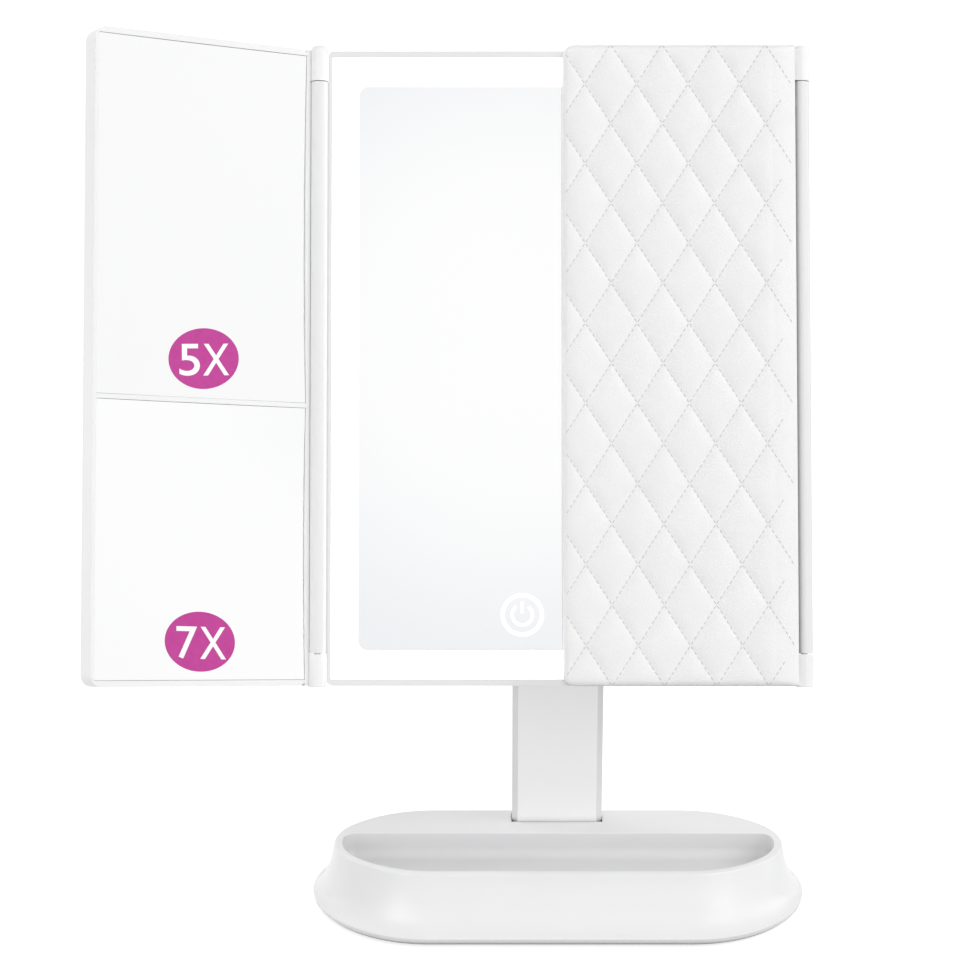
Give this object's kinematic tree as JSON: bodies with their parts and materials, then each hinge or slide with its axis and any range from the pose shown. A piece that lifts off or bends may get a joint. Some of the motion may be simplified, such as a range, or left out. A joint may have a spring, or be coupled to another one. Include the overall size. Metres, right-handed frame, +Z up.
{
  "type": "folding lighted makeup mirror",
  "caption": "Tabletop trifold mirror: a lit centre mirror with two hinged, quilted wings tilts on a flat post above a flared oval base with a tray.",
  "frame": {"origin": "middle of the non-slip pad's underside, on the table", "axes": "+Z up, -Y towards the user, +X to the right as seen by the user"},
  "size_m": [0.3324, 0.1723, 0.4101],
  "materials": {
    "white_plastic": "satin white moulding",
    "black_plastic": "matt",
    "rubber_pad": "matt",
    "steel": "zinc plated",
    "screw_steel": "nickel plated",
    "bronze": "plain",
    "opal_light": "opal, lit from behind",
    "silver_mirror": "silvered glass",
    "circuit_board": "white solder mask",
    "led_chip": "phosphor",
    "battery_wrap": "film wrap",
    "lead_sleeve": "insulated wire",
    "foam": "open-cell foam",
    "white_leather": "fine-grained, quilted"
  },
  "bodies": {
    "stand": {"base_shell": "white_plastic", "base_bottom_plate": "black_plastic", "non_slip_pad": "rubber_pad", "ballast_plate": "steel", "post_spine": "steel", "post_front_shell": "white_plastic", "post_rear_shell": "white_plastic", "pivot_bush": "bronze", "base_screws": "screw_steel", "spine_screws": "screw_steel"},
    "head": {"center_frame": "white_plastic", "light_diffuser": "opal_light", "center_mirror": "silver_mirror", "light_tray": "white_plastic", "led_strips": "circuit_board", "led_chips": "led_chip", "rear_cover": "white_plastic", "pivot_bracket": "white_plastic", "tilt_pin": "steel", "left_friction_washer": "black_plastic", "right_friction_washer": "black_plastic", "left_pivot_cap": "white_plastic", "right_pivot_cap": "white_plastic", "control_board": "circuit_board", "charging_socket": "screw_steel", "battery_pack": "battery_wrap", "battery_leads": "lead_sleeve", "touch_sensor": "bronze", "cover_screws": "screw_steel", "bracket_screws": "screw_steel"},
    "left_wing": {"left_wing_frame": "white_plastic", "left_lower_hinge_pin": "steel", "left_upper_hinge_pin": "steel", "upper_magnifying_mirror": "silver_mirror", "lower_magnifying_mirror": "silver_mirror", "left_wing_panel": "white_plastic", "left_foam_pad": "foam", "left_leather_cover": "white_leather"},
    "right_wing": {"right_wing_frame": "white_plastic", "right_lower_hinge_pin": "steel", "right_upper_hinge_pin": "steel", "right_mirror": "silver_mirror", "right_wing_panel": "white_plastic", "right_foam_pad": "foam", "right_leather_cover": "white_leather"}
  },
  "joints": [
    {"name": "head_tilt", "type": "hinge", "parent": "stand", "child": "head", "pos_m": [0, 0.0273, 0.1645], "axis": [-1, 0, 0], "range_deg": [-21.5, 38.5]},
    {"name": "left_wing_fold", "type": "hinge", "parent": "head", "child": "left_wing", "pos_m": [-0.112, 0.00311, 0.17403], "axis": [0, -0.3665, -0.9304], "range_deg": [-150, 30]},
    {"name": "right_wing_fold", "type": "hinge", "parent": "head", "child": "right_wing", "pos_m": [0.112, 0.00311, 0.17403], "axis": [0, 0.3665, 0.9304], "range_deg": [0, 180]}
  ]
}
